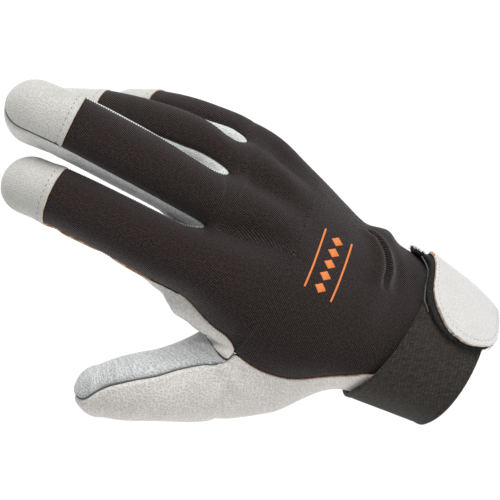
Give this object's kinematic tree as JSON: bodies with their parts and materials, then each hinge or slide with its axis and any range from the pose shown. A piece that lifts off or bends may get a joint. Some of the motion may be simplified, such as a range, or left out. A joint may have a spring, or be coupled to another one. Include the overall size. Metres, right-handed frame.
{
  "type": "anti-vibration work glove",
  "caption": "Right-hand work glove in its worn form: leather palm, thumb, fingertip caps and finger gussets, stretch-knit back, and a wide elastic wrist strap with a leather closing tab.",
  "frame": {"origin": "middle of the wrist opening, between the strap's outer edge on the back and on the palm side", "axes": "+X out of the wrist opening along the forearm, -X to the fingertips, -Y to the thumb side, +Z out of the back of the hand"},
  "size_m": [0.2171, 0.1424, 0.0787],
  "materials": {
    "stretch_knit": "fine diagonal rib knit, faint sheen on the ribs",
    "cap_leather": "pebbled, matt, light grey",
    "palm_leather": "smooth grain, matt, off-white",
    "gusset_leather": "smooth grain, matt, creased",
    "thumb_leather": "smooth grain, matt, bluish grey",
    "tab_leather": "smooth grain, matt, off-white",
    "elastic": "ribbed knitted elastic, matt",
    "hook_pad": "short stiff hook pile, matt"
  },
  "bodies": {
    "root": {"back_panel": "stretch_knit", "palm_panel": "palm_leather", "thumb_outer": "palm_leather", "thumb_inner": "thumb_leather", "index_fingertip_cap": "cap_leather", "middle_fingertip_cap": "cap_leather", "ring_fingertip_cap": "cap_leather", "little_fingertip_cap": "cap_leather", "index_middle_gusset": "gusset_leather", "middle_ring_gusset": "gusset_leather", "ring_little_gusset": "gusset_leather", "wrist_strap": "elastic", "tab_hook_pad": "hook_pad", "strap_tab": "tab_leather"}
  },
  "joints": []
}
